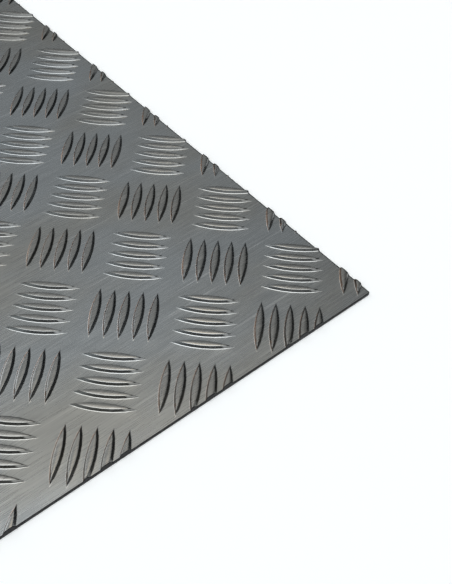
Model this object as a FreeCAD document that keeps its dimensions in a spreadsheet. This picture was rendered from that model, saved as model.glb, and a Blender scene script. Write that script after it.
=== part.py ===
"""Aluminium checker plate: one rolled sheet with a five-bar tread on its upper face.

Units are millimetres.  The sheet lies flat, +Z is up through the tread, X and Y run along
its two cut edges, and the origin is the middle of the underside.  The tread is a square
lattice turned 45 degrees to the edges.  Each cell of the lattice holds a group of parallel
bars, and the bars of neighbouring groups stand at right angles.  A bar is lens shaped in
plan, with sloping flanks, a flat top and pointed tips.  The cut edges go straight through
the bars that they meet.
"""
import FreeCAD, Part
import math
import os

import Sketcher

SIZES = [
    ("sheet_length", 500.0, "along X, cut panel"),
    ("sheet_width", 500.0, "along Y, cut panel"),
    ("base_thickness", 2.0, "sheet without its tread"),
    ("corner_radius", 1.0, "dubbed corners of the panel"),
    ("tread_height", 1.5, "top of a bar above the sheet"),
    ("bar_length", 30.7, "tip to tip at the foot"),
    ("bar_width", 4.7, "widest part of the foot"),
    ("flank_run", 0.9, "how far a flank leans in from foot to top"),
    ("bar_spacing", 7.14, "between the middles of two bars in a group"),
    ("bars_in_group", 5, "parallel bars in a group"),
    ("group_pitch", 40.0, "between the middles of two neighbouring groups"),
    ("lattice_angle", 45.0, "degrees from the edges to the rows of groups"),
    ("first_group_inset_x", 75.5, "middle of one group from the +X edge"),
    ("first_group_inset_y", 36.1, "middle of the same group from the -Y edge"),
]


def make_sheet(doc):
    """Spreadsheet with one row and one alias for each driving dimension."""
    sheet = doc.addObject("Spreadsheet::Sheet", "Sizes")
    for row, (alias, value, note) in enumerate(SIZES, start=1):
        sheet.set(f"A{row}", alias)
        sheet.set(f"B{row}", str(value))
        sheet.set(f"C{row}", note)
        sheet.setAlias(f"B{row}", alias)
    doc.recompute()
    return sheet


def make_base(doc):
    """The flat sheet: a centred rectangle, padded and rounded at its four corners."""
    body = doc.addObject("PartDesign::Body", "BaseSheet")
    body.Label = "base_sheet"
    sketch = body.newObject("Sketcher::SketchObject", "Outline")
    plane = next(p for p in body.Origin.OriginFeatures if p.Role == "XY_Plane")
    sketch.AttachmentSupport = [(plane, "")]
    sketch.MapMode = "FlatFace"
    corners = [
        FreeCAD.Vector(-1, -1, 0),
        FreeCAD.Vector(1, -1, 0),
        FreeCAD.Vector(1, 1, 0),
        FreeCAD.Vector(-1, 1, 0),
    ]
    for start, end in zip(corners, corners[1:] + corners[:1]):
        sketch.addGeometry(Part.LineSegment(start, end), False)
    bottom, right, top, left = range(4)
    first, second = 1, 2
    for side, following in ((bottom, right), (right, top), (top, left), (left, bottom)):
        sketch.addConstraint(Sketcher.Constraint("Coincident", side, second, following, first))
    for side in (bottom, top):
        sketch.addConstraint(Sketcher.Constraint("Horizontal", side))
    for side in (right, left):
        sketch.addConstraint(Sketcher.Constraint("Vertical", side))
    sketch_origin = (-1, 1)
    sketch.addConstraint(Sketcher.Constraint("Symmetric", bottom, first, right, second, *sketch_origin))
    length = sketch.addConstraint(
        Sketcher.Constraint("DistanceX", bottom, first, bottom, second, 2.0)
    )
    width = sketch.addConstraint(
        Sketcher.Constraint("DistanceY", right, first, right, second, 2.0)
    )
    sketch.setExpression(f"Constraints[{length}]", "Sizes.sheet_length")
    sketch.setExpression(f"Constraints[{width}]", "Sizes.sheet_width")
    pad = body.newObject("PartDesign::Pad", "Thickness")
    pad.Profile = sketch
    pad.setExpression("Length", "Sizes.base_thickness")
    doc.recompute()
    upright = [
        f"Edge{number}"
        for number, edge in enumerate(pad.Shape.Edges, start=1)
        if abs(edge.tangentAt(edge.FirstParameter).z) > 0.99
    ]
    rounding = body.newObject("PartDesign::Fillet", "Corners")
    rounding.Base = (pad, upright)
    rounding.setExpression("Radius", "Sizes.corner_radius")
    body.Tip = rounding
    return body


def make_bar(doc):
    """One bar along X, its foot on Z = 0: the part that two wide cones have in common.

    The foot of each cone is a circle through both tips of the bar, and the lean of the
    cones gives the bar its flanks, its flat top and its hipped tips.
    """
    arc_radius = "(Sizes.bar_length ^ 2 + Sizes.bar_width ^ 2) / (4 * Sizes.bar_width)"
    cones = []
    for name, side in (("FlankNear", -1), ("FlankFar", 1)):
        cone = doc.addObject("Part::Cone", name)
        cone.setExpression("Radius1", arc_radius)
        cone.setExpression("Radius2", f"{arc_radius} - Sizes.flank_run")
        cone.setExpression("Height", "Sizes.tread_height")
        cone.setExpression("Placement.Base.y", f"{side} * ({arc_radius} - Sizes.bar_width / 2)")
        cones.append(cone)
    bar = doc.addObject("Part::Common", "TreadBar")
    bar.Label = "tread_bar"
    bar.Base, bar.Tool = cones
    return bar


def bar_places(sheet):
    """Yield x, y and turn in degrees of every bar whose middle is on or near the sheet."""
    angle = math.radians(sheet.lattice_angle)
    along = FreeCAD.Vector(math.cos(angle), -math.sin(angle), 0)
    across = FreeCAD.Vector(math.sin(angle), math.cos(angle), 0)
    first = FreeCAD.Vector(
        sheet.sheet_length / 2 - sheet.first_group_inset_x,
        -sheet.sheet_width / 2 + sheet.first_group_inset_y,
        0,
    )
    span = sheet.sheet_length + sheet.sheet_width
    reach = math.ceil(span / sheet.group_pitch) + 1
    in_group = int(sheet.bars_in_group)
    for column in range(-reach, reach + 1):
        for row in range(-reach, reach + 1):
            middle = first + along * (column * sheet.group_pitch) + across * (row * sheet.group_pitch)
            lies_along = (column + row) % 2 == 0
            step = across if lies_along else along
            turn = -sheet.lattice_angle if lies_along else 90 - sheet.lattice_angle
            for index in range(in_group):
                place = middle + step * ((index - (in_group - 1) / 2) * sheet.bar_spacing)
                if abs(place.x) < (sheet.sheet_length + sheet.bar_length) / 2:
                    if abs(place.y) < (sheet.sheet_width + sheet.bar_length) / 2:
                        yield place.x, place.y, turn


def make_tread(doc, sheet, base, bar):
    """All the bars, standing on the sheet and cut off flush where an edge crosses them."""
    top = sheet.base_thickness
    roof = max(base.Shape.Faces, key=lambda face: face.CenterOfMass.z)
    room = roof.extrude(FreeCAD.Vector(0, 0, sheet.tread_height))
    whole_x = sheet.sheet_length / 2 - sheet.corner_radius
    whole_y = sheet.sheet_width / 2 - sheet.corner_radius
    pieces = []
    for x, y, turn in bar_places(sheet):
        piece = bar.Shape.copy()
        piece.Placement = FreeCAD.Placement(
            FreeCAD.Vector(x, y, top), FreeCAD.Rotation(FreeCAD.Vector(0, 0, 1), turn)
        )
        box = piece.BoundBox
        is_whole = max(box.XMax, -box.XMin) < whole_x and max(box.YMax, -box.YMin) < whole_y
        if not is_whole:
            piece = piece.common(room)
        pieces.extend(piece.Solids)
    tread = doc.addObject("Part::Feature", "Tread")
    tread.Label = "tread"
    tread.Shape = Part.makeCompound(pieces)
    return tread


def make_plate(doc, base, tread):
    """The rolled sheet as one solid: base and tread fused, with no seam left between them."""
    plate = doc.addObject("Part::MultiFuse", "CheckerPlate")
    plate.Label = "checker_plate"
    plate.Shapes = [base, tread]
    plate.Refine = True
    return plate


def check(doc, plate):
    """Stop before anything is written if an object failed or the plate isn't one solid."""
    for item in doc.Objects:
        if "Invalid" in item.State or "Error" in item.State:
            raise RuntimeError(f"{item.Label} failed: {item.State}")
    if plate.Shape.isNull() or not plate.Shape.isValid():
        raise RuntimeError(f"{plate.Label} has no valid shape")
    if len(plate.Shape.Solids) != 1:
        raise RuntimeError(f"{plate.Label} is {len(plate.Shape.Solids)} solids, not one")


def main():
    """Build the plate and write its solid to parts/checker_plate.step."""
    doc = FreeCAD.newDocument("CheckerPlate")
    sheet = make_sheet(doc)
    base = make_base(doc)
    bar = make_bar(doc)
    doc.recompute()
    tread = make_tread(doc, sheet, base, bar)
    plate = make_plate(doc, base, tread)
    doc.recompute()
    check(doc, plate)
    os.makedirs("parts", exist_ok=True)
    plate.Shape.exportStep(f"parts/{plate.Label}.step")
    box = plate.Shape.BoundBox
    bars = len(tread.Shape.Solids)
    print(f"{plate.Label}: {box.XLength:.1f} x {box.YLength:.1f} x {box.ZLength:.2f} mm, {bars} bars")


main()
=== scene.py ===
"""Looks of the aluminium checker plate: the rolled tread as one skin, its finishes, studio and camera.

The plate lies flat with its underside on Z = 0, and its rolling grain runs along X.  One cell of the
tread, a square with a group of parallel bars, is modelled once.  Copies of it, turned a quarter
from cell to cell, are laid over the sheet, joined to one skin and trimmed at the cut edges.
"""

from __future__ import annotations

import logging
import math
from dataclasses import dataclass, field
from enum import Enum

import bpy
from mathutils import Matrix, Vector

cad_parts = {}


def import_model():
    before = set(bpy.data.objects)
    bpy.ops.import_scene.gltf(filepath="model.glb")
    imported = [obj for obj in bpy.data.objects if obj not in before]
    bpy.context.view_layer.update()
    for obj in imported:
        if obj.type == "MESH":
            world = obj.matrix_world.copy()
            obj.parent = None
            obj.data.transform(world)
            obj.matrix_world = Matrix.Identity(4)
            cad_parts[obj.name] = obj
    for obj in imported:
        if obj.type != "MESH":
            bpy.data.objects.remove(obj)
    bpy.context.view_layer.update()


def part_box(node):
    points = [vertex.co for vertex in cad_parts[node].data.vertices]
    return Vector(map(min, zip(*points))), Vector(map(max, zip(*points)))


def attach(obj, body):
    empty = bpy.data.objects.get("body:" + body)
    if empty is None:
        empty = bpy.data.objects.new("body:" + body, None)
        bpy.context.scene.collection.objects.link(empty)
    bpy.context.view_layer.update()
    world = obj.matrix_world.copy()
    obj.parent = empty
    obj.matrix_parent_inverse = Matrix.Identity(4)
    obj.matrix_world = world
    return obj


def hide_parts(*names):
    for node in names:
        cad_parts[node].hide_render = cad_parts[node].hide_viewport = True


MM = 0.001
MERGE = 0.004 * MM
AIM_INSET_X = 55.9 * MM
AIM_INSET_Y = 44.8 * MM
NODE = "checker_plate"
LOG = logging.getLogger("checker_plate")


class Lay(Enum):
    """Which way the bars of a group lie, as a turn of the cell about Z."""

    ALONG = 0.0
    ACROSS = math.pi / 2


# ---------------------------------------------------------------- modelling helpers


def clear_selection() -> None:
    """Leave edit mode and deselect every object."""
    if bpy.context.mode != "OBJECT":
        bpy.ops.object.mode_set(mode="OBJECT")
    bpy.ops.object.select_all(action="DESELECT")


def activate(obj: bpy.types.Object) -> None:
    """Make one object the only selected and the active one.

    Args:
        obj: The object that the next operators act on.
    """
    clear_selection()
    obj.select_set(True)
    bpy.context.view_layer.objects.active = obj


def edit(obj: bpy.types.Object, kind: str = "VERT") -> None:
    """Enter edit mode on one object with nothing selected.

    Args:
        obj: The object to edit.
        kind: VERT, EDGE or FACE, the select mode.
    """
    activate(obj)
    bpy.ops.object.mode_set(mode="EDIT")
    bpy.ops.mesh.select_mode(type=kind)
    bpy.ops.mesh.select_all(action="DESELECT")


def select_between(obj: bpy.types.Object, low: float, high: float) -> None:
    """Select in edit mode what lies wholly between two heights.

    Args:
        obj: The object in edit mode.
        low: Lowest height.
        high: Highest height.
    """
    bpy.ops.object.mode_set(mode="OBJECT")
    mesh = obj.data
    inside = [low - MERGE <= vertex.co.z <= high + MERGE for vertex in mesh.vertices]
    mesh.vertices.foreach_set("select", inside)
    mesh.edges.foreach_set("select", [all(inside[end] for end in edge.vertices) for edge in mesh.edges])
    mesh.polygons.foreach_set("select", [all(inside[end] for end in face.vertices) for face in mesh.polygons])
    bpy.ops.object.mode_set(mode="EDIT")


def duplicate(obj: bpy.types.Object, place: Matrix) -> bpy.types.Object:
    """Copy an object with a mesh of its own, moved inside that mesh.

    Args:
        obj: The object to copy.
        place: Where the copy goes.

    Returns:
        The copy, linked to the scene.
    """
    copy = obj.copy()
    copy.data = obj.data.copy()
    copy.data.transform(place)
    bpy.context.scene.collection.objects.link(copy)
    return copy


def join(pieces: list[bpy.types.Object], name: str) -> bpy.types.Object:
    """Join objects into one and name it.

    Args:
        pieces: The objects to join.
        name: Name of the result.

    Returns:
        The joined object.
    """
    activate(pieces[0])
    for piece in pieces:
        piece.select_set(True)
    bpy.ops.object.join()
    whole = bpy.context.view_layer.objects.active
    whole.name = whole.data.name = name
    return whole


# ---------------------------------------------------------------- shader helpers


class Nodes:
    """A node tree with short calls to add and join its nodes."""

    def __init__(self, tree: bpy.types.NodeTree) -> None:
        """Start from an empty tree.

        Args:
            tree: The tree to fill.
        """
        self.tree = tree
        tree.nodes.clear()

    def add(self, kind: str, **settings: object) -> bpy.types.Node:
        """Add a node.

        Args:
            kind: Name of the node's type without ShaderNode.
            settings: Attributes to set on it.

        Returns:
            The new node.
        """
        node = self.tree.nodes.new(kind if kind.startswith("Node") else f"ShaderNode{kind}")
        for name, value in settings.items():
            setattr(node, name, value)
        return node

    def link(self, source: bpy.types.NodeSocket, target: bpy.types.NodeSocket) -> None:
        """Join an output to an input.

        Args:
            source: The output.
            target: The input.
        """
        self.tree.links.new(source, target)

    def feed(self, target: bpy.types.NodeSocket, value: object) -> None:
        """Link a socket, or set a plain value, on an input.

        Args:
            target: The input.
            value: An output socket, a number or a colour.
        """
        if isinstance(value, bpy.types.NodeSocket):
            self.link(value, target)
        else:
            target.default_value = value

    def math(self, operation: str, first: object, second: object = 0.0) -> bpy.types.NodeSocket:
        """Combine two numbers.

        Args:
            operation: Name of the operation.
            first: Socket or number.
            second: Socket or number.

        Returns:
            The result.
        """
        node = self.add("Math", operation=operation)
        self.feed(node.inputs[0], first)
        self.feed(node.inputs[1], second)
        return node.outputs[0]

    def span(self, value: object, low: float, high: float, start: float, end: float) -> bpy.types.NodeSocket:
        """Map a range of numbers onto another, held at both ends and smooth between.

        Args:
            value: Socket to map.
            low: Input that gives start.
            high: Input that gives end.
            start: First output.
            end: Last output.

        Returns:
            The mapped number.
        """
        node = self.add("MapRange", interpolation_type="SMOOTHSTEP")
        for socket, number in zip(node.inputs[:5], (value, low, high, start, end)):
            self.feed(socket, number)
        return node.outputs["Result"]

    def noise(self, vector: object, scale: float, detail: float, rough: float) -> bpy.types.NodeSocket:
        """Noise from 0 to 1.

        Args:
            vector: Socket with the place.
            scale: Features for each metre.
            detail: Octaves.
            rough: Share that each octave keeps.

        Returns:
            The noise value.
        """
        node = self.add("TexNoise")
        node.inputs["Scale"].default_value = scale
        node.inputs["Detail"].default_value = detail
        node.inputs["Roughness"].default_value = rough
        self.link(vector, node.inputs["Vector"])
        return node.outputs["Fac"]

    def mapped(
        self, vector: object, scale: tuple[float, float, float], turn: float = 0.0
    ) -> bpy.types.NodeSocket:
        """Stretch and turn a pattern.

        Args:
            vector: Socket with the place.
            scale: Stretch along each axis.
            turn: Turn about Z, in radians.

        Returns:
            The mapped place.
        """
        node = self.add("Mapping", vector_type="POINT")
        node.inputs["Scale"].default_value = scale
        node.inputs["Rotation"].default_value = (0.0, 0.0, turn)
        self.link(vector, node.inputs["Vector"])
        return node.outputs["Vector"]

    def blend(self, share: object, first: object, second: object, kind: str = "MIX") -> bpy.types.NodeSocket:
        """Mix two colours.

        Args:
            share: How much of the second.
            first: Socket or colour.
            second: Socket or colour.
            kind: Blend type.

        Returns:
            The mixed colour.
        """
        node = self.add("Mix", data_type="RGBA", blend_type=kind)
        self.feed(node.inputs["Factor"], share)
        self.feed(node.inputs["A"], first)
        self.feed(node.inputs["B"], second)
        return node.outputs["Result"]


@dataclass(frozen=True)
class GrainEffect:
    """Shader group of fine rolling lines and scratches that run along X."""

    name: str = "rolling_grain"
    line_stretch: float = 30.0
    scratch_stretch: float = 60.0

    def group(self) -> bpy.types.NodeTree:
        """Build the group once.

        Returns:
            The group, with inputs Place, Line Scale and Scratch Scale and outputs Lines and Scratches.
        """
        known = bpy.data.node_groups.get(self.name)
        if known:
            return known
        tree = bpy.data.node_groups.new(self.name, "ShaderNodeTree")
        face = tree.interface
        face.new_socket("Place", in_out="INPUT", socket_type="NodeSocketVector")
        for label, scale in (("Line Scale", 1500.0), ("Scratch Scale", 420.0)):
            face.new_socket(label, in_out="INPUT", socket_type="NodeSocketFloat").default_value = scale
        for label in ("Lines", "Scratches"):
            face.new_socket(label, in_out="OUTPUT", socket_type="NodeSocketFloat")
        nodes = Nodes(tree)
        ends = nodes.add("NodeGroupInput"), nodes.add("NodeGroupOutput")
        place = ends[0].outputs["Place"]
        fine = nodes.add("TexNoise")
        nodes.link(nodes.mapped(place, (1.0 / self.line_stretch, 1.0, 1.0)), fine.inputs["Vector"])
        nodes.link(ends[0].outputs["Line Scale"], fine.inputs["Scale"])
        fine.inputs["Detail"].default_value = 3.0
        fine.inputs["Roughness"].default_value = 0.6
        nodes.link(fine.outputs["Fac"], ends[1].inputs["Lines"])
        total: object = 0.0
        for turn in (0.05, -0.07):
            marks = nodes.add("TexNoise")
            stretched = nodes.mapped(place, (1.0 / self.scratch_stretch, 1.0, 1.0), turn)
            nodes.link(stretched, marks.inputs["Vector"])
            nodes.link(ends[0].outputs["Scratch Scale"], marks.inputs["Scale"])
            marks.inputs["Detail"].default_value = 2.0
            total = nodes.math("ADD", nodes.span(marks.outputs["Fac"], 0.62, 0.74, 0.0, 1.0), total)
        nodes.link(nodes.math("MINIMUM", total, 1.0), ends[1].inputs["Scratches"])
        return tree


@dataclass(frozen=True)
class MillFinish:
    """Satin mill finish of the rolled faces: rolling grain and cloudy tone, with painted shade on the bars'
    tops and flanks and in a band next to the cut edges at either end in X.
    """

    name: str = "mill_aluminium"
    bright: tuple[float, float, float, float] = (0.60, 0.615, 0.62, 1.0)
    cloudy: tuple[float, float, float, float] = (0.53, 0.515, 0.48, 1.0)
    # Painted shade on the bars' tops: its tint and how much of it is mixed in.
    top_shade_tint: tuple[float, float, float, float] = (0.46, 0.44, 0.41, 1.0)
    top_shade_share: float = 0.8
    roughness: float = 0.27
    cloud_scale: float = 14.0
    flank_foot: float = 2.1 * MM
    flank_head: float = 3.375 * MM
    flank_shade: float = 0.3
    # Painted shade along the cut edges at either end in X: where its band begins and how dark it is.
    shade_band_x: float = 249.35 * MM
    shade_band_level: float = 0.12
    scratch_tone: float = 0.14
    bump_strength: float = 0.12
    bump_depth: float = 0.003 * MM

    def material(self) -> bpy.types.Material:
        """Build the material.

        Returns:
            The material.
        """
        made = bpy.data.materials.new(self.name)
        made.use_nodes = True
        nodes = Nodes(made.node_tree)
        out = nodes.add("OutputMaterial")
        metal = nodes.add("BsdfPrincipled")
        nodes.link(metal.outputs["BSDF"], out.inputs["Surface"])
        metal.inputs["Metallic"].default_value = 1.0
        place = nodes.add("TexCoord").outputs["Object"]
        grain = nodes.add("Group")
        grain.node_tree = GrainEffect().group()
        nodes.link(place, grain.inputs["Place"])
        lines, scratches = grain.outputs["Lines"], grain.outputs["Scratches"]
        clouds = nodes.noise(nodes.mapped(place, (0.55, 1.0, 1.0)), self.cloud_scale, 4.0, 0.55)
        height = nodes.add("SeparateXYZ")
        nodes.link(place, height.inputs[0])
        above = height.outputs["Z"]
        crest = nodes.span(above, self.flank_head, self.flank_head + 0.03 * MM, 0.0, 1.0)
        flank = nodes.span(above, self.flank_foot, self.flank_foot + 0.12 * MM, 0.0, 1.0)
        below_head = nodes.span(above, self.flank_head - 0.02 * MM, self.flank_head, 1.0, 0.0)
        flank = nodes.math("MULTIPLY", flank, below_head)
        tone = nodes.blend(nodes.span(clouds, 0.35, 0.65, 0.0, 1.0), self.cloudy, self.bright)
        # Painted shade: the bars' tops are tinted darker and browner than the sheet.
        tone = nodes.blend(nodes.math("MULTIPLY", crest, self.top_shade_share), tone, self.top_shade_tint)
        streaks = nodes.math("MULTIPLY", scratches, self.scratch_tone)
        shade = nodes.math("ADD", nodes.span(lines, 0.3, 0.7, 0.9, 1.05), streaks)
        # Painted shade: the bars' flanks are darkened in the colour.
        shade = nodes.math("MULTIPLY", shade, nodes.span(flank, 0.0, 1.0, 1.0, self.flank_shade))
        aside = nodes.math("ABSOLUTE", height.outputs["X"])
        # Painted shade: a dark band on the top next to the cut edges along X, widening the dark edge.
        band_start = self.shade_band_x - 0.15 * MM
        band_end = self.shade_band_x + 0.1 * MM
        shade_band = nodes.span(aside, band_start, band_end, 1.0, self.shade_band_level)
        shade = nodes.math("MULTIPLY", shade, shade_band)
        tone = nodes.blend(1.0, tone, shade, "MULTIPLY")
        nodes.link(tone, metal.inputs["Base Color"])
        rough = nodes.math("ADD", nodes.span(lines, 0.3, 0.7, -0.03, 0.03), self.roughness)
        rough = nodes.math("ADD", rough, nodes.span(clouds, 0.35, 0.65, 0.03, -0.02))
        rough = nodes.math("ADD", rough, nodes.math("MULTIPLY", scratches, 0.06))
        nodes.link(rough, metal.inputs["Roughness"])
        relief = nodes.math("ADD", lines, nodes.math("MULTIPLY", scratches, -0.6))
        bump = nodes.add("Bump")
        bump.inputs["Strength"].default_value = self.bump_strength
        bump.inputs["Distance"].default_value = self.bump_depth
        nodes.link(relief, bump.inputs["Height"])
        nodes.link(bump.outputs["Normal"], metal.inputs["Normal"])
        return made


@dataclass(frozen=True)
class ShearedFinish:
    """Rough metal of the sheared edges with upright drag marks, its colour held near black as painted shade.
    """

    name: str = "sheared_edge"
    dark: tuple[float, float, float, float] = (0.018, 0.018, 0.02, 1.0)
    light: tuple[float, float, float, float] = (0.06, 0.06, 0.06, 1.0)
    roughness: float = 0.55
    drag_scale: float = 900.0
    bump_strength: float = 0.4
    bump_depth: float = 0.05 * MM

    def material(self) -> bpy.types.Material:
        """Build the material.

        Returns:
            The material.
        """
        made = bpy.data.materials.new(self.name)
        made.use_nodes = True
        nodes = Nodes(made.node_tree)
        out = nodes.add("OutputMaterial")
        metal = nodes.add("BsdfPrincipled")
        nodes.link(metal.outputs["BSDF"], out.inputs["Surface"])
        metal.inputs["Metallic"].default_value = 1.0
        place = nodes.add("TexCoord").outputs["Object"]
        drag = nodes.noise(nodes.mapped(place, (1.0, 1.0, 0.15)), self.drag_scale, 3.0, 0.6)
        # Painted shade: the edges' colour is held near black; the drag marks vary it.
        tone = nodes.blend(nodes.span(drag, 0.35, 0.7, 0.0, 1.0), self.dark, self.light)
        nodes.link(tone, metal.inputs["Base Color"])
        rough = nodes.math("ADD", nodes.span(drag, 0.3, 0.7, -0.1, 0.1), self.roughness)
        nodes.link(rough, metal.inputs["Roughness"])
        bump = nodes.add("Bump")
        bump.inputs["Strength"].default_value = self.bump_strength
        bump.inputs["Distance"].default_value = self.bump_depth
        nodes.link(drag, bump.inputs["Height"])
        nodes.link(bump.outputs["Normal"], metal.inputs["Normal"])
        return made


# ---------------------------------------------------------------- the plate


@dataclass(frozen=True)
class TreadBar:
    """One raised bar, as a stack of lens-shaped rings from its foot on the sheet to its crowned top."""

    length: float = 30.7 * MM
    width: float = 4.7 * MM
    height: float = 1.5 * MM
    flank_run: float = 0.9 * MM
    foot_radius: float = 0.5 * MM
    crest: float = 0.06 * MM
    crown: float = 0.14 * MM
    crown_width: float = 1.3 * MM
    arc_steps: int = 6

    def rings(self) -> list[tuple[float, float]]:
        """Offsets and heights of the rings.

        Returns:
            Pairs of outward offset from the flank's foot and height above the sheet.
        """
        slope = math.atan2(self.height, self.flank_run)
        lean = self.flank_run / self.height
        foot = self.foot_radius * math.tan(slope / 2)
        flank_low = foot * math.sin(slope)
        flank_high = self.height - self.crown - self.crest
        rings = [
            (foot, 0.0),
            (foot - self.foot_radius * math.sin(slope / 2), self.foot_radius * (1.0 - math.cos(slope / 2))),
            (-flank_low * lean, flank_low),
            (-flank_high * lean, flank_high),
        ]
        for share in (0.0, 0.2, 0.5, 1.0):
            inset = self.flank_run + share * self.crown_width
            rings.append((-inset, self.height - self.crown * (1.0 - share) ** 2))
        return rings

    def outline(self, offset: float) -> tuple[float, float, float]:
        """Size of the lens at an offset from the foot.

        Args:
            offset: How far outside the foot of the flank.

        Returns:
            Radius of the two arcs, distance of their middles from the bar's axis, half length.
        """
        foot_radius = (self.length**2 + self.width**2) / (4.0 * self.width)
        radius = foot_radius + offset
        centre = foot_radius - self.width / 2
        return radius, centre, math.sqrt(radius**2 - centre**2)

    def add_ring(self, offset: float, level: float) -> None:
        """Add one lens-shaped loop of edges in edit mode.

        Args:
            offset: How far outside the foot of the flank.
            level: Height above the sheet.
        """
        radius, centre, half = self.outline(offset)
        sweep = 2.0 * math.asin(half / radius)
        for side in (-1.0, 1.0):
            bpy.ops.mesh.select_all(action="DESELECT")
            bpy.ops.mesh.primitive_circle_add(vertices=3, radius=MERGE, location=(half * side, 0.0, level))
            bpy.ops.mesh.merge(type="CENTER")
            bpy.ops.mesh.spin(
                steps=self.arc_steps,
                angle=-sweep,
                center=(0.0, -centre * side, level),
                axis=(0.0, 0.0, 1.0),
            )

    def build(self) -> bpy.types.Object:
        """Model the bar along X with its foot open.

        Returns:
            The bar.
        """
        clear_selection()
        bpy.ops.mesh.primitive_circle_add(vertices=3, radius=1.0, location=(0.0, 0.0, 0.0))
        bar = bpy.context.view_layer.objects.active
        edit(bar)
        bpy.ops.mesh.select_all(action="SELECT")
        bpy.ops.mesh.delete(type="VERT")
        for offset, level in self.rings():
            self.add_ring(offset, level)
        bpy.ops.mesh.select_all(action="SELECT")
        bpy.ops.mesh.remove_doubles(threshold=MERGE)
        bpy.ops.mesh.select_mode(type="EDGE")
        levels = [level for _, level in self.rings()]
        for low, high in zip(levels, levels[1:]):
            select_between(bar, low, high)
            bpy.ops.mesh.bridge_edge_loops()
        select_between(bar, self.height, self.height)
        bpy.ops.mesh.edge_face_add()
        bpy.ops.object.mode_set(mode="OBJECT")
        return bar


@dataclass(frozen=True)
class TreadCell:
    """One square cell of the tread: a group of parallel bars and the sheet between them."""

    pitch: float = 40.0 * MM
    spacing: float = 7.14 * MM
    bars: int = 5
    bar: TreadBar = field(default_factory=TreadBar)

    def build(self) -> bpy.types.Object:
        """Model the cell around the origin, with the sheet's face on Z = 0.

        Returns:
            The cell.
        """
        first = self.bar.build()
        places = [(index - (self.bars - 1) / 2) * self.spacing for index in range(self.bars)]
        group = [duplicate(first, Matrix.Translation((0.0, place, 0.0))) for place in places]
        bpy.data.objects.remove(first)
        clear_selection()
        bpy.ops.mesh.primitive_plane_add(size=self.pitch, location=(0.0, 0.0, 0.0))
        square = bpy.context.view_layer.objects.active
        edit(square, "FACE")
        bpy.ops.mesh.select_all(action="SELECT")
        bpy.ops.mesh.delete(type="ONLY_FACE")
        cell = join([square, *group], "tread_cell")
        edit(cell, "EDGE")
        select_between(cell, 0.0, 0.0)
        bpy.ops.mesh.fill(use_beauty=True)
        bpy.ops.mesh.select_all(action="SELECT")
        bpy.ops.mesh.normals_make_consistent(inside=False)
        bpy.ops.object.mode_set(mode="OBJECT")
        return cell


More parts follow.
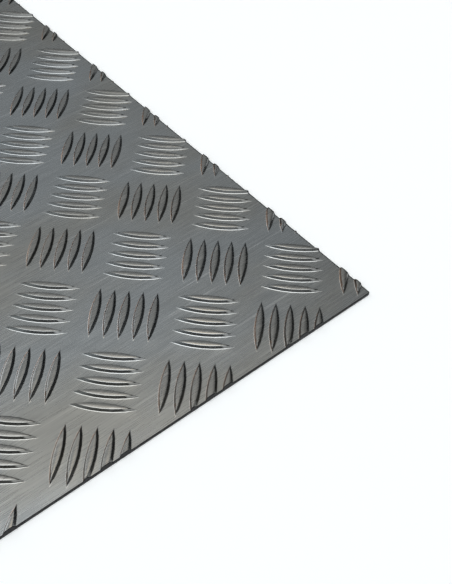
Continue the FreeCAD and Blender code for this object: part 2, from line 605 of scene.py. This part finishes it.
@dataclass
class CheckerPlate:
    """The rolled sheet with its tread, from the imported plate's box."""

    low: Vector
    high: Vector
    cell: TreadCell = field(default_factory=TreadCell)
    inset_x: float = 75.5 * MM
    inset_y: float = 36.1 * MM
    lattice_angle: float = math.radians(45.0)
    corner_radius: float = 1.0 * MM
    corner_steps: int = 4
    edge_roll: float = 0.3 * MM
    burr: float = 0.25 * MM
    roll_steps: tuple[tuple[float, float], ...] = ((0.6, 0.2), (0.4, 0.8))
    tip_margin: float = 1.0 * MM
    tip_height: float = 0.1 * MM
    smooth_angle: float = math.radians(60.0)
    skin: bpy.types.Object | None = None

    @property
    def sheet_top(self) -> float:
        """Height of the sheet's face, under the bars."""
        return self.high.z - self.cell.bar.height

    def cells(self) -> list[tuple[float, float, Lay]]:
        """Middles of the cells that reach the sheet, and how their bars lie.

        Returns:
            Places in X and Y and the lay.
        """
        along = Vector((math.cos(self.lattice_angle), -math.sin(self.lattice_angle)))
        across = Vector((math.sin(self.lattice_angle), math.cos(self.lattice_angle)))
        first = Vector((self.high.x - self.inset_x, self.low.y + self.inset_y))
        pitch = self.cell.pitch
        half_diagonal = pitch * math.sqrt(0.5)
        span = (self.high.x - self.low.x) + (self.high.y - self.low.y)
        reach = math.ceil(span / pitch) + 1
        places = []
        for column in range(-reach, reach + 1):
            for row in range(-reach, reach + 1):
                place = first + along * (column * pitch) + across * (row * pitch)
                lay = Lay.ALONG if (column + row) % 2 == 0 else Lay.ACROSS
                if abs(place.x) < self.high.x + half_diagonal and abs(place.y) < self.high.y + half_diagonal:
                    places.append((place.x, place.y, lay))
        return places

    def lay_cells(self) -> bpy.types.Object:
        """Cover the sheet with copies of the cell and merge them into one skin.

        Returns:
            The skin, larger than the sheet.
        """
        cell = self.cell.build()
        copies = []
        for x, y, lay in self.cells():
            turn = Matrix.Rotation(lay.value - self.lattice_angle, 4, "Z")
            copies.append(duplicate(cell, Matrix.Translation((x, y, self.sheet_top)) @ turn))
        bpy.data.objects.remove(cell)
        skin = join(copies, "rolled_plate")
        edit(skin)
        bpy.ops.mesh.select_all(action="SELECT")
        bpy.ops.mesh.remove_doubles(threshold=MERGE)
        bpy.ops.object.mode_set(mode="OBJECT")
        return skin

    def trim(self, skin: bpy.types.Object) -> None:
        """Cut the skin off at the edges, round its corners and flatten slivers of tread left by the cut.

        Args:
            skin: The laid skin.
        """
        edit(skin, "FACE")
        half = Vector((self.high.x - self.edge_roll, self.high.y - self.edge_roll, 0.0))
        inner = Vector((half.x - self.corner_radius, half.y - self.corner_radius, 0.0))
        for quarter in range(4):
            for step in range(self.corner_steps):
                angle = (quarter + step / self.corner_steps) * math.pi / 2
                normal = Vector((math.cos(angle), math.sin(angle), 0.0))
                sides = (1.0 if normal.x > -MERGE else -1.0), (1.0 if normal.y > -MERGE else -1.0)
                point = Vector((inner.x * sides[0], inner.y * sides[1], 0.0)) + normal * self.corner_radius
                bpy.ops.mesh.select_all(action="SELECT")
                bpy.ops.mesh.bisect(plane_co=point, plane_no=normal, clear_outer=True, threshold=MERGE / 4)
        bpy.ops.object.mode_set(mode="OBJECT")
        for vertex in skin.data.vertices:
            from_edge = min(self.high.x - abs(vertex.co.x), self.high.y - abs(vertex.co.y))
            if from_edge < self.tip_margin and vertex.co.z < self.sheet_top + self.tip_height:
                vertex.co.z = self.sheet_top

    def close(self, skin: bpy.types.Object) -> None:
        """Roll the rim over, draw the sheared walls down from it and close the underside.

        Args:
            skin: The trimmed skin.
        """
        edit(skin, "EDGE")
        bpy.ops.mesh.select_non_manifold(
            extend=False,
            use_wire=False,
            use_multi_face=False,
            use_non_contiguous=False,
            use_verts=False,
        )
        bpy.ops.mesh.mark_sharp()
        for out, down in self.roll_steps:
            grow = 1.0 + out * self.edge_roll / self.high.x
            bpy.ops.mesh.extrude_edges_move(TRANSFORM_OT_translate={"value": (0.0, 0.0, -down * self.burr)})
            bpy.ops.transform.resize(value=(grow, grow, 1.0), center_override=(0.0, 0.0, 0.0))
        bpy.ops.mesh.extrude_edges_move()
        bpy.ops.transform.resize(value=(1.0, 1.0, 0.0), center_override=(0.0, 0.0, self.low.z + self.burr))
        bpy.ops.mesh.extrude_edges_move(TRANSFORM_OT_translate={"value": (0.0, 0.0, -self.burr)})
        shrink = 1.0 - self.burr / self.high.x
        bpy.ops.transform.resize(value=(shrink, shrink, 1.0), center_override=(0.0, 0.0, 0.0))
        bpy.ops.mesh.edge_face_add()
        bpy.ops.mesh.select_all(action="SELECT")
        bpy.ops.mesh.normals_make_consistent(inside=False)
        bpy.ops.object.mode_set(mode="OBJECT")

    def build(self) -> None:
        """Model the plate."""
        self.skin = self.lay_cells()
        self.trim(self.skin)
        self.close(self.skin)
        activate(self.skin)
        bpy.ops.object.shade_smooth_by_angle(angle=self.smooth_angle)
        even = self.skin.modifiers.new("flat_faces_rule", "WEIGHTED_NORMAL")
        even.mode = "FACE_AREA"
        even.weight = 100
        even.keep_sharp = True
        bpy.ops.object.modifier_apply(modifier=even.name)

    def dress(self) -> None:
        """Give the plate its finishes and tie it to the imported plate."""
        mesh = self.skin.data
        mesh.materials.clear()
        mesh.materials.append(MillFinish().material())
        mesh.materials.append(ShearedFinish().material())
        rim_x, rim_y = self.high.x - self.edge_roll, self.high.y - self.edge_roll
        for face in mesh.polygons:
            at_rim = abs(face.center.x) > rim_x + MERGE or abs(face.center.y) > rim_y + MERGE
            face.material_index = int(at_rim and face.center.z > self.low.z)
        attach(self.skin, "root")
        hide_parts(NODE)


# ---------------------------------------------------------------- the studio


def heading(azimuth: float, elevation: float) -> Vector:
    """Direction of a point of the sky.

    Args:
        azimuth: Turn about Z from the -Y axis.
        elevation: Height above the horizon.

    Returns:
        Unit vector towards it.
    """
    flat = math.cos(elevation)
    return Vector((math.sin(azimuth) * flat, -math.cos(azimuth) * flat, math.sin(elevation)))


@dataclass(frozen=True)
class Glow:
    """One soft round patch of light on the studio's walls and ceiling."""

    azimuth: float
    elevation: float
    core: float
    edge: float
    radiance: float
    colour: tuple[float, float, float, float]

    def add(self, nodes: Nodes, way: bpy.types.NodeSocket, turn: float) -> bpy.types.NodeSocket:
        """Add the patch to the world's nodes.

        Args:
            nodes: The world's tree.
            way: Socket with the direction of the sky.
            turn: Azimuth of the camera, from which the patch's own is counted.

        Returns:
            The patch as a background shader.
        """
        towards = nodes.add("VectorMath", operation="DOT_PRODUCT")
        nodes.link(way, towards.inputs[0])
        middle = heading(turn + math.radians(self.azimuth), math.radians(self.elevation))
        towards.inputs[1].default_value = middle
        inner, outer = math.cos(math.radians(self.core)), math.cos(math.radians(self.edge))
        back = nodes.add("Background")
        back.inputs["Color"].default_value = self.colour
        strength = nodes.span(towards.outputs["Value"], outer, inner, 0.0, self.radiance)
        nodes.link(strength, back.inputs["Strength"])
        return back.outputs[0]


@dataclass
class Studio:
    """Floor, walls, lamp and camera round the plate's near corner."""

    target: Vector
    view_azimuth: float = math.radians(-39.97)
    view_elevation: float = math.radians(48.52)
    view_roll: float = math.radians(1.01)
    view_distance: float = 445.3 * MM
    lens: float = 55.35
    sky_level: float = 0.25
    wall_level: float = 0.03
    horizon_level: float = 0.7
    lamp_azimuth: float = math.radians(-175.0)
    lamp_elevation: float = math.radians(68.0)
    lamp_angle: float = math.radians(6.0)
    lamp_radiance: float = 4.5
    lamp_colour: tuple[float, float, float] = (1.0, 0.84, 0.6)
    sky_colour: tuple[float, float, float, float] = (0.93, 1.0, 1.04, 1.0)
    floor_size: float = 60.0
    floor_colour: tuple[float, float, float, float] = (0.96, 0.96, 0.955, 1.0)
    floor_glow: float = 0.16

    def floor(self) -> None:
        """Lay the pale floor."""
        clear_selection()
        bpy.ops.mesh.primitive_plane_add(size=self.floor_size, location=(0.0, 0.0, 0.0))
        floor = bpy.context.view_layer.objects.active
        floor.name = "floor"
        made = bpy.data.materials.new("floor")
        made.use_nodes = True
        nodes = Nodes(made.node_tree)
        out = nodes.add("OutputMaterial")
        matt = nodes.add("BsdfPrincipled")
        nodes.link(matt.outputs["BSDF"], out.inputs["Surface"])
        matt.inputs["Base Color"].default_value = self.floor_colour
        matt.inputs["Roughness"].default_value = 0.9
        matt.inputs["Specular IOR Level"].default_value = 0.0
        matt.inputs["Emission Color"].default_value = (1.0, 1.0, 1.0, 1.0)
        rays = nodes.add("LightPath")
        seen = nodes.math("ADD", rays.outputs["Is Camera Ray"], rays.outputs["Is Glossy Ray"])
        seen = nodes.math("MINIMUM", nodes.math("ADD", seen, rays.outputs["Is Transmission Ray"]), 1.0)
        nodes.link(nodes.math("MULTIPLY", seen, self.floor_glow), matt.inputs["Emission Strength"])
        floor.data.materials.append(made)

    def glows(self) -> list[Glow]:
        """Patches of light on the walls and ceiling.

        Returns:
            The patches, with azimuths counted from the camera's.
        """
        return [
            Glow(0.0, 65.0, 34.0, 46.0, 1.6, (0.95, 0.985, 1.0, 1.0)),
            Glow(-126.0, 35.0, 8.0, 15.0, 1.6, (0.9, 0.96, 1.0, 1.0)),
            Glow(-112.0, 13.0, 6.0, 13.0, 1.3, (1.0, 0.6, 0.38, 1.0)),
            Glow(-134.0, 16.0, 6.0, 12.0, 1.3, (1.0, 0.62, 0.42, 1.0)),
            Glow(-44.0, 12.0, 8.0, 18.0, 1.0, (0.85, 0.95, 1.0, 1.0)),
        ]

    def sky(self) -> None:
        """Dim walls, pale along the floor, grey opposite the camera, with soft patches of light."""
        world = bpy.data.worlds.new("studio")
        bpy.context.scene.world = world
        world.use_nodes = True
        nodes = Nodes(world.node_tree)
        out = nodes.add("OutputWorld")
        way = nodes.add("TexCoord").outputs["Generated"]
        parts = nodes.add("SeparateXYZ")
        nodes.link(way, parts.inputs[0])
        up = parts.outputs["Z"]
        rightward = nodes.add("VectorMath", operation="DOT_PRODUCT")
        nodes.link(way, rightward.inputs[0])
        rightward.inputs[1].default_value = (math.cos(self.view_azimuth), math.sin(self.view_azimuth), 0.0)
        wall = nodes.span(up, 0.25, 0.6, 0.02, self.sky_level)
        lift = nodes.math("ADD", wall, nodes.span(up, 0.74, 0.92, 0.0, self.sky_level))
        fall = nodes.span(rightward.outputs["Value"], -0.1, 0.45, 1.0, 0.06)
        lift = nodes.math("MULTIPLY", lift, fall)
        lift = nodes.math("ADD", lift, self.wall_level)
        lift = nodes.math("ADD", lift, nodes.span(up, 0.02, 0.09, self.horizon_level, 0.0))
        back = nodes.add("Background")
        back.inputs["Color"].default_value = self.sky_colour
        nodes.link(lift, back.inputs["Strength"])
        light = back.outputs[0]
        for glow in self.glows():
            both = nodes.add("AddShader")
            nodes.link(light, both.inputs[0])
            nodes.link(glow.add(nodes, way, self.view_azimuth), both.inputs[1])
            light = both.outputs[0]
        nodes.link(light, out.inputs["Surface"])

    def lamp(self) -> None:
        """Set the small warm lamp that glints on the bars' tops."""
        data = bpy.data.lights.new("warm_lamp", "SUN")
        data.angle = self.lamp_angle
        data.energy = self.lamp_radiance * math.pi * math.sin(self.lamp_angle / 2) ** 2
        data.color = self.lamp_colour
        lamp = bpy.data.objects.new("warm_lamp", data)
        towards = heading(self.view_azimuth + self.lamp_azimuth, self.lamp_elevation)
        lamp.rotation_euler = towards.to_track_quat("Z", "Y").to_euler()
        bpy.context.scene.collection.objects.link(lamp)

    def camera(self) -> None:
        """Set up the camera."""
        data = bpy.data.cameras.new("camera")
        data.sensor_width = 36.0
        data.lens = self.lens
        data.clip_start = 0.01
        camera = bpy.data.objects.new("camera", data)
        turn = Matrix.Rotation(self.view_azimuth, 4, "Z")
        turn = turn @ Matrix.Rotation(math.pi / 2 - self.view_elevation, 4, "X")
        turn = turn @ Matrix.Rotation(self.view_roll, 4, "Z")
        back_off = Matrix.Translation((0.0, 0.0, self.view_distance))
        camera.matrix_world = Matrix.Translation(self.target) @ turn @ back_off
        bpy.context.scene.collection.objects.link(camera)
        bpy.context.scene.camera = camera

    def build(self) -> None:
        """Set up everything round the plate."""
        self.floor()
        self.sky()
        self.lamp()
        self.camera()
        bpy.context.scene.view_settings.view_transform = "Standard"


def report(piece: bpy.types.Object) -> None:
    """Log a piece with its size in millimetres and its triangles.

    Args:
        piece: The finished piece.
    """
    piece.data.calc_loop_triangles()
    size = " x ".join(f"{side / MM:.2f}" for side in piece.dimensions)
    LOG.info("%s: %s mm, %d triangles", piece.name, size, len(piece.data.loop_triangles))


def main() -> None:
    """Build the plate and the studio round it."""
    logging.basicConfig(level=logging.INFO, format="%(name)s: %(message)s")
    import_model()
    low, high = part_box(NODE)
    plate = CheckerPlate(low, high)
    plate.build()
    plate.dress()
    report(plate.skin)
    aim = Vector((high.x - AIM_INSET_X, low.y + AIM_INSET_Y, plate.sheet_top))
    Studio(aim).build()
    bpy.context.view_layer.update()


if __name__ == "__main__":
    main()
